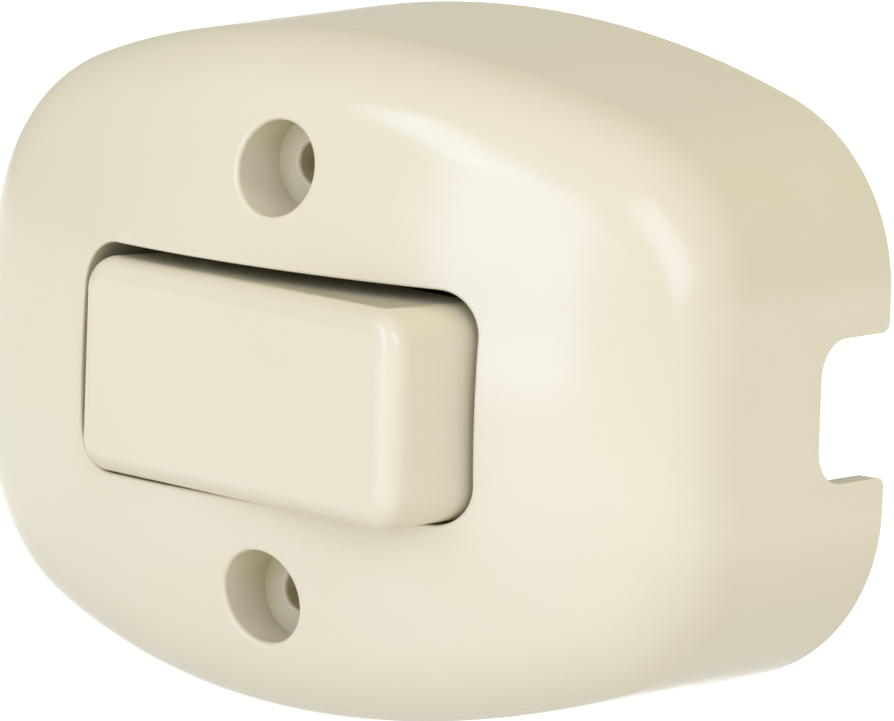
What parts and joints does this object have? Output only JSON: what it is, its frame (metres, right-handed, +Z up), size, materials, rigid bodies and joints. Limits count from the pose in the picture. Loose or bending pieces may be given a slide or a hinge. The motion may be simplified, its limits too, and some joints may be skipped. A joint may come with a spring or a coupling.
{
  "type": "rocker wall switch",
  "caption": "Surface-mounted rocker wall switch in a bowed ivory cover, with a wide landscape rocker, wall screw holes and side cable notches.",
  "frame": {"origin": "middle of the flat back, where the switch rests on the wall", "axes": "+X to the right seen from the front, +Z up, -Y out of the wall towards the user"},
  "size_m": [0.09, 0.0465, 0.0666],
  "materials": {
    "ivory": "satin gloss, moulded",
    "ivory_rocker": "satin gloss, moulded",
    "phenolic": "moulded phenolic, dull",
    "glass_nylon": "moulded glass-filled nylon, dull",
    "nylon": "moulded nylon",
    "spring_steel": "drawn spring wire",
    "brass": "rolled strip",
    "brass_rivet": "turned",
    "silver": "silver alloy, bright",
    "rubber": "dull",
    "plated_steel": "zinc plated"
  },
  "bodies": {
    "base": {"cover": "ivory", "base_plate": "phenolic", "switch_body": "phenolic", "rocker_bridge": "glass_nylon", "common_terminal": "brass", "load_terminal": "brass", "fixed_contact": "silver", "stop_pad": "rubber", "common_rivet": "brass_rivet", "load_rivet": "brass_rivet", "common_clamp": "plated_steel", "load_clamp": "plated_steel", "terminal_screws": "plated_steel", "body_screws": "plated_steel", "case_screws": "plated_steel"},
    "rocker": {"rocker": "ivory_rocker", "rocker_spring": "spring_steel"},
    "plunger": {"plunger": "nylon"},
    "lever": {"contact_lever": "brass", "moving_contact": "silver"}
  },
  "joints": [
    {"name": "rocker_tilt", "type": "hinge", "parent": "base", "child": "rocker", "pos_m": [0, -0.0372, 0], "axis": [0, 0, 1], "range_deg": [0, 21]},
    {"name": "plunger_slide", "type": "slide", "parent": "rocker", "child": "plunger", "axis": [-0.1822, -0.9833, 0], "range_m": [0, 0.0006], "stiffness_N_per_m": 300, "springref_m": -0.003, "deforming": ["rocker_spring"]},
    {"name": "lever_tilt", "type": "hinge", "parent": "base", "child": "lever", "pos_m": [0, -0.0126, 0], "axis": [0, 0, 1], "range_deg": [-16, 0]}
  ],
  "couplings": [
    {"joint": "lever_tilt", "follows": "rocker_tilt", "ratio": -0.7619}
  ]
}
